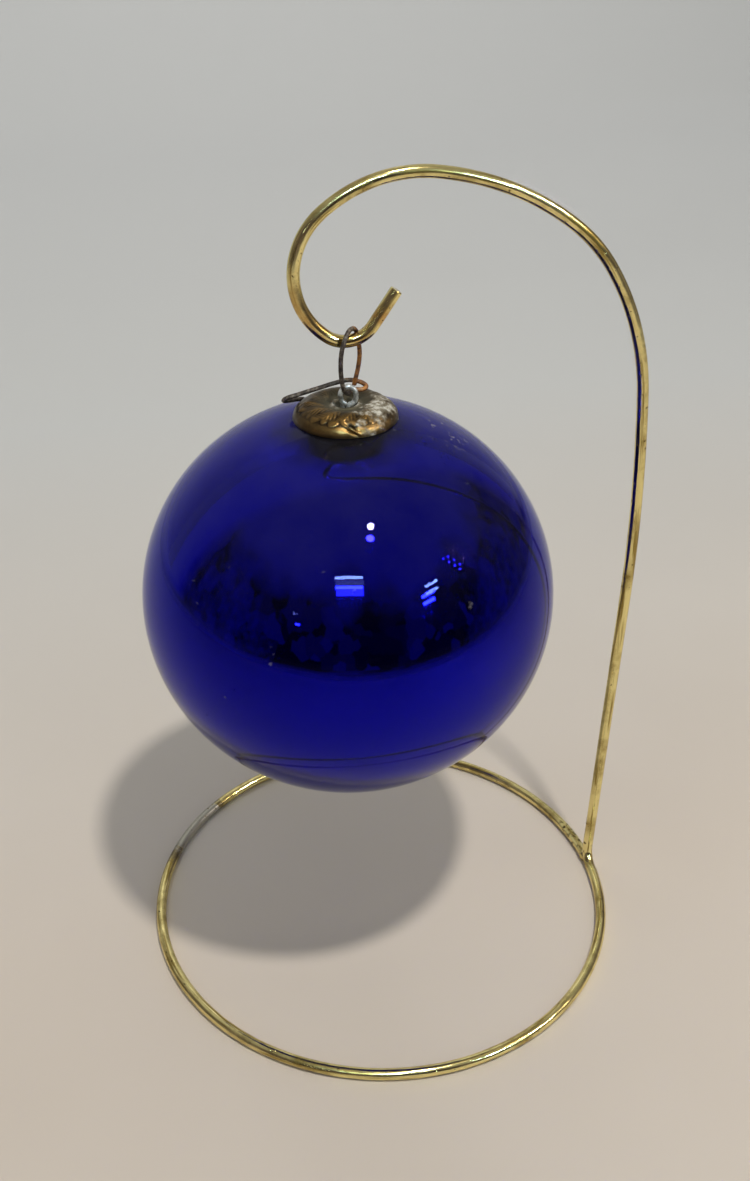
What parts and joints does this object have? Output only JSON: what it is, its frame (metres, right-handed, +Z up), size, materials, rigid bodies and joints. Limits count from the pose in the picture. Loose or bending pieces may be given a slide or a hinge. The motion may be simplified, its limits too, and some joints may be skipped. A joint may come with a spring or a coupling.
{
  "type": "christmas ornament",
  "caption": "Silvered blue glass ball with a worn brass cap, hung by a bent wire from the hook of a brass ring stand.",
  "frame": {"origin": "centre of the stand's base ring, on the surface that it stands on", "axes": "+Z up, +X from the ring's centre towards the foot of the upright; the hook lies in the X-Z plane"},
  "size_m": [0.1318, 0.1298, 0.2089],
  "materials": {
    "brass_wire": "brass-plated steel wire, polished, with small pits and brown tarnish",
    "blue_glass": "cobalt blue blown glass, silvered on the inside, so that it reflects and isn't see-through",
    "aged_brass": "thin pressed sheet, tarnished brown, with worn golden ridges and pale corrosion",
    "dull_zinc": "dull grey plated wire",
    "rusty_wire": "thin steel wire with brown and orange rust"
  },
  "bodies": {
    "root": {"stand": "brass_wire", "glass_ball": "blue_glass", "cap": "aged_brass", "cap_loop": "dull_zinc", "hanger": "rusty_wire"}
  },
  "joints": []
}
